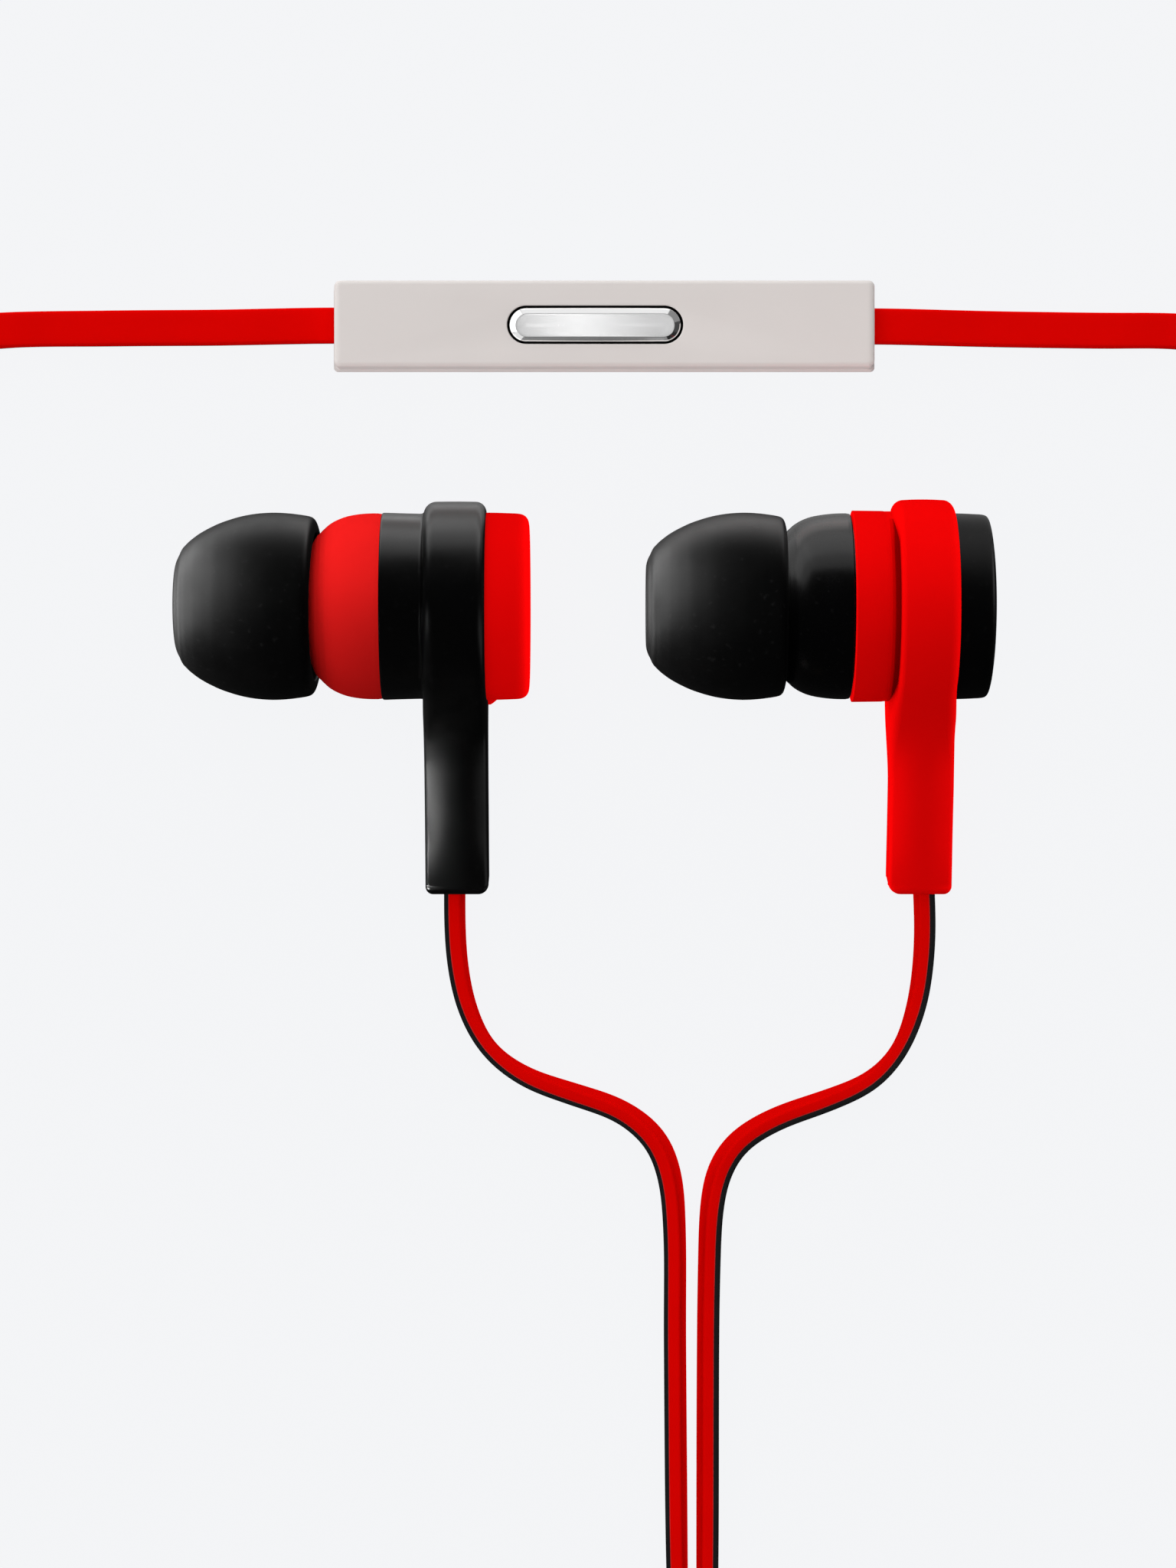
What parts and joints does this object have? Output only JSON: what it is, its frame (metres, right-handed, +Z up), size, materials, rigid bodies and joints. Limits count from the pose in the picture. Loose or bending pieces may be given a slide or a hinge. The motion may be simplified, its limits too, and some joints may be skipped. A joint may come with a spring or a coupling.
{
  "type": "wired earphones",
  "caption": "In-ear earphones with a flat two-tone cable, in-line button remote, Y splitter and 3.5 mm plug, laid flat with the spare cable in tied coils.",
  "frame": {"origin": "middle of the two earpieces, on the table they lie on", "axes": "+Z up from the table; +X along both earpieces' axes, from the ear tips to the back caps; +Y towards the remote, the stems point to -Y"},
  "size_m": [0.0957, 0.1294, 0.0137],
  "materials": {
    "silicone_black": "satin silicone",
    "shell_black": "polished",
    "shell_red": "polished",
    "cable_red": "matte",
    "remote_grey": "satin",
    "button_chrome": "polished",
    "plug_metal": "polished",
    "steel": "satin",
    "magnet_grey": "satin",
    "copper": "enamelled",
    "diaphragm_film": "film",
    "driver_plastic": "moulded",
    "board_green": "solder mask",
    "dark_fittings": "moulded",
    "tie_fabric": "hook and loop"
  },
  "bodies": {
    "earphones": {"front_shell_left": "shell_red", "nozzle_mesh_left": "steel", "housing_stem_left": "shell_black", "back_cap_left": "shell_red", "driver_frame_left": "driver_plastic", "driver_pole_plate_left": "steel", "driver_magnet_left": "magnet_grey", "driver_yoke_left": "steel", "terminal_board_left": "board_green", "inner_wires_left": "copper", "cable_clamp_left": "dark_fittings", "front_shell_right": "shell_black", "nozzle_mesh_right": "steel", "housing_stem_right": "shell_red", "back_cap_right": "shell_black", "driver_frame_right": "driver_plastic", "driver_pole_plate_right": "steel", "driver_magnet_right": "magnet_grey", "driver_yoke_right": "steel", "terminal_board_right": "board_green", "inner_wires_right": "copper", "cable_clamp_right": "dark_fittings", "remote_front_shell": "remote_grey", "remote_back_shell": "remote_grey", "remote_switch_body": "dark_fittings", "remote_circuit_board": "board_green", "remote_microphone": "steel", "remote_cable_clamps": "dark_fittings", "splitter_base": "remote_grey", "splitter_cover": "remote_grey", "splitter_joint": "dark_fittings", "plug_grip": "shell_black", "plug_strain_relief": "cable_red", "plug_sleeve": "plug_metal", "plug_ring_ground": "plug_metal", "plug_ring_right": "plug_metal", "plug_tip": "plug_metal", "plug_insulators": "shell_black", "cable_left": "cable_red", "cable_right": "cable_red", "cable_left_end": "cable_red", "cable_right_end": "cable_red", "cable_main_a": "cable_red", "cable_main_b": "cable_red", "cable_main_end": "cable_red", "coil_branches": "cable_red", "coil_main": "cable_red", "tie_branches": "tie_fabric", "tie_main": "tie_fabric"},
    "button": {"remote_button": "button_chrome", "remote_switch_plunger": "driver_plastic"},
    "tip_left": {"ear_tip_left": "silicone_black"},
    "tip_right": {"ear_tip_right": "silicone_black"},
    "diaphragm_left": {"driver_diaphragm_left": "diaphragm_film", "driver_voice_coil_left": "copper"},
    "diaphragm_right": {"driver_diaphragm_right": "diaphragm_film", "driver_voice_coil_right": "copper"}
  },
  "joints": [
    {"name": "button_press", "type": "slide", "parent": "earphones", "child": "button", "axis": [0, 0, -1], "range_m": [0, 0.0004], "stiffness_N_per_m": 3000},
    {"name": "tip_pull_left", "type": "slide", "parent": "earphones", "child": "tip_left", "axis": [-1, 0, 0], "range_m": [0, 0.007]},
    {"name": "tip_pull_right", "type": "slide", "parent": "earphones", "child": "tip_right", "axis": [-1, 0, 0], "range_m": [0, 0.007]},
    {"name": "diaphragm_left_move", "type": "slide", "parent": "earphones", "child": "diaphragm_left", "axis": [-1, 0, 0], "range_m": [-0.00015, 0.00015], "stiffness_N_per_m": 250},
    {"name": "diaphragm_right_move", "type": "slide", "parent": "earphones", "child": "diaphragm_right", "axis": [-1, 0, 0], "range_m": [-0.00015, 0.00015], "stiffness_N_per_m": 250}
  ]
}
